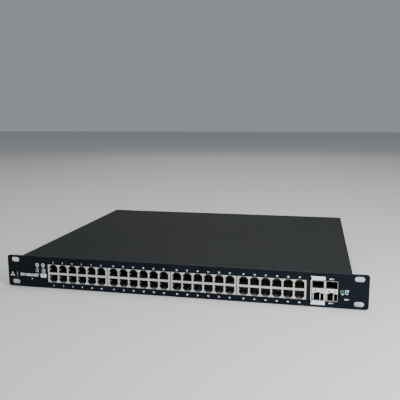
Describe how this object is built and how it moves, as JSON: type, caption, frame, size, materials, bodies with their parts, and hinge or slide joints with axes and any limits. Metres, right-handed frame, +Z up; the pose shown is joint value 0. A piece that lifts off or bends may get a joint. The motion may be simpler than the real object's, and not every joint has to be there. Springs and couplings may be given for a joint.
{
  "type": "rackmount network switch",
  "caption": "Rack-mount Ethernet switch, one rack unit high, with a two-row wall of copper sockets, four module cages, rack ears and fan-cooled steel case.",
  "frame": {"origin": "centre of the footprint, on the surface under the rubber feet", "axes": "+X to the right seen from the front, across the rack; -Y out of the front plate; +Z up"},
  "size_m": [0.484, 0.3672, 0.0445],
  "materials": {
    "plate_paint": "satin blue-black powder coat on steel",
    "case_paint": "matte dark grey powder coat",
    "cover_paint": "matte dark grey powder coat",
    "rubber": "black rubber",
    "zinc": "bright zinc",
    "black_steel": "black zinc screws",
    "tin": "tin-plated sheet, satin",
    "black_plastic": "black moulded thermoplastic",
    "contact_gold": "gold-flashed spring wire",
    "contact_brass": "plain brass",
    "clear_plastic": "clear moulded light guide and sheet",
    "white_plastic": "natural nylon",
    "button_plastic": "dark plunger",
    "board_green": "solder-masked glass-epoxy laminate",
    "board_tan": "phenolic laminate",
    "ferrite": "dark ferrite",
    "yellow_tape": "polyester tape over copper",
    "raw_aluminium": "plain aluminium",
    "terminal_green": "green terminal block",
    "wire_red": "insulated wire",
    "wire_blue": "insulated wire",
    "wire_green": "insulated wire",
    "wire_black": "insulated wire"
  },
  "bodies": {
    "root": {"front_plate": "plate_paint", "base_chassis": "case_paint", "top_cover": "cover_paint", "rubber_feet": "rubber", "plate_screws": "zinc", "cover_screws": "black_steel", "jack_shield_1": "tin", "jack_shield_2": "tin", "jack_shield_3": "tin", "jack_shield_4": "tin", "jack_inserts_1": "black_plastic", "jack_inserts_2": "black_plastic", "jack_inserts_3": "black_plastic", "jack_inserts_4": "black_plastic", "jack_contacts_1": "contact_gold", "jack_contacts_2": "contact_gold", "jack_contacts_3": "contact_gold", "jack_contacts_4": "contact_gold", "sfp_cage": "tin", "sfp_latch_strips": "tin", "sfp_connectors": "black_plastic", "sfp_light_pipes": "clear_plastic", "status_light_pipe": "clear_plastic", "main_board": "board_green", "board_standoffs": "contact_brass", "board_screws": "zinc", "line_transformers": "black_plastic", "phy_chips": "black_plastic", "phy_heat_sinks": "raw_aluminium", "switch_chip": "black_plastic", "switch_heat_sink": "raw_aluminium", "memory_chips": "black_plastic", "board_capacitors": "raw_aluminium", "board_leds": "white_plastic", "reset_switch": "black_plastic", "power_board": "board_tan", "power_insulator": "clear_plastic", "transformer_core": "ferrite", "transformer_winding": "yellow_tape", "power_capacitors": "raw_aluminium", "power_heat_sinks": "raw_aluminium", "filter_choke": "ferrite", "power_terminal": "terminal_green", "board_headers": "white_plastic", "power_harness": "wire_red", "power_inlet": "black_plastic", "inlet_pins": "contact_brass", "inlet_screws": "zinc", "ground_screw": "zinc", "earth_lug": "tin", "inlet_wires": "wire_blue", "earth_wire": "wire_green", "fan_frame_1": "black_plastic", "fan_frame_2": "black_plastic", "fan_stators": "contact_brass", "fan_screws": "zinc", "fan_leads": "wire_black"},
    "fan_1": {"fan_rotor_1": "black_plastic"},
    "fan_2": {"fan_rotor_2": "black_plastic"},
    "reset": {"reset_button": "button_plastic"}
  },
  "joints": [
    {"name": "fan_1_spin", "type": "hinge", "parent": "root", "child": "fan_1", "pos_m": [-0.16625, 0.1694, 0.02265], "axis": [0, 1, 0], "continuous": true},
    {"name": "fan_2_spin", "type": "hinge", "parent": "root", "child": "fan_2", "pos_m": [-0.10625, 0.1694, 0.02265], "axis": [0, 1, 0], "continuous": true},
    {"name": "reset_push", "type": "slide", "parent": "root", "child": "reset", "axis": [0, 1, 0], "range_m": [0, 0.00035], "stiffness_N_per_m": 4000, "springref_m": -0.0002}
  ]
}
